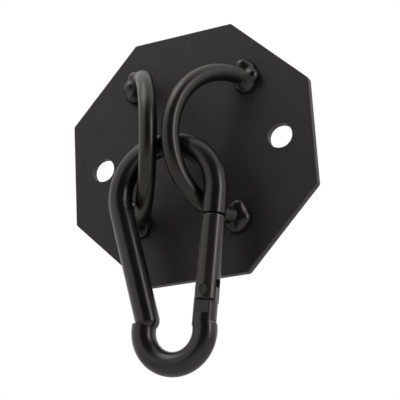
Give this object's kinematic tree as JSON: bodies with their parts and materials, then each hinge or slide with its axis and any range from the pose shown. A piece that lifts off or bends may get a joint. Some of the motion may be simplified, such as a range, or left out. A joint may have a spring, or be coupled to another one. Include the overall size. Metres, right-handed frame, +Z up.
{
  "type": "hammock hook",
  "caption": "Octagonal wall plate with two leaning welded half rings and a gated spring snap hook hanging in them, for a hammock, swing or punch bag.",
  "frame": {"origin": "middle of the plate's back face, on the wall", "axes": "+X to the right seen from the front, +Z up, the plate's back faces +Y and the rings stand out towards -Y"},
  "size_m": [0.09, 0.0309, 0.1242],
  "materials": {
    "powder_coated_plate": "satin black powder coat on steel plate",
    "powder_coated_bar": "satin black powder coat on round bar",
    "powder_coated_weld": "satin black powder coat over a lumpy weld bead",
    "coated_hook_wire": "smooth satin black coat on bent steel wire",
    "coated_gate": "smooth satin black coat on a turned steel gate",
    "coated_rivet": "black coated rivet",
    "bare_steel": "bare turned steel, hidden in the gate",
    "spring_steel": "bare spring wire, hidden in the gate"
  },
  "bodies": {
    "wall_plate": {"base_plate": "powder_coated_plate", "left_ring": "powder_coated_bar", "right_ring": "powder_coated_bar", "weld_left_upper": "powder_coated_weld", "weld_left_lower": "powder_coated_weld", "weld_right_upper": "powder_coated_weld", "weld_right_lower": "powder_coated_weld"},
    "snap_hook": {"hook_body": "coated_hook_wire"},
    "gate": {"gate": "coated_gate", "hinge_rivet": "coated_rivet", "gate_spring": "spring_steel"},
    "plunger": {"spring_plunger": "bare_steel"}
  },
  "joints": [
    {"name": "hook_swing", "type": "hinge", "parent": "wall_plate", "child": "snap_hook", "pos_m": [-0.0015, -0.0197, -0.007], "axis": [-1, 0, 0], "range_deg": [-2, 100]},
    {"name": "gate_hinge", "type": "hinge", "parent": "snap_hook", "child": "gate", "pos_m": [0.01069, -0.0197, -0.05318], "axis": [0, -1, 0], "range_deg": [0, 38], "stiffness_Nm_per_rad": 0.15, "springref_deg": -28.65, "deforming": ["gate_spring"]},
    {"name": "plunger_slide", "type": "slide", "parent": "gate", "child": "plunger", "axis": [0.1538, 0, 0.9881], "range_m": [0, 0.00068]}
  ],
  "couplings": [
    {"joint": "plunger_slide", "follows": "gate_hinge", "m_per_rad": 0.00102}
  ]
}
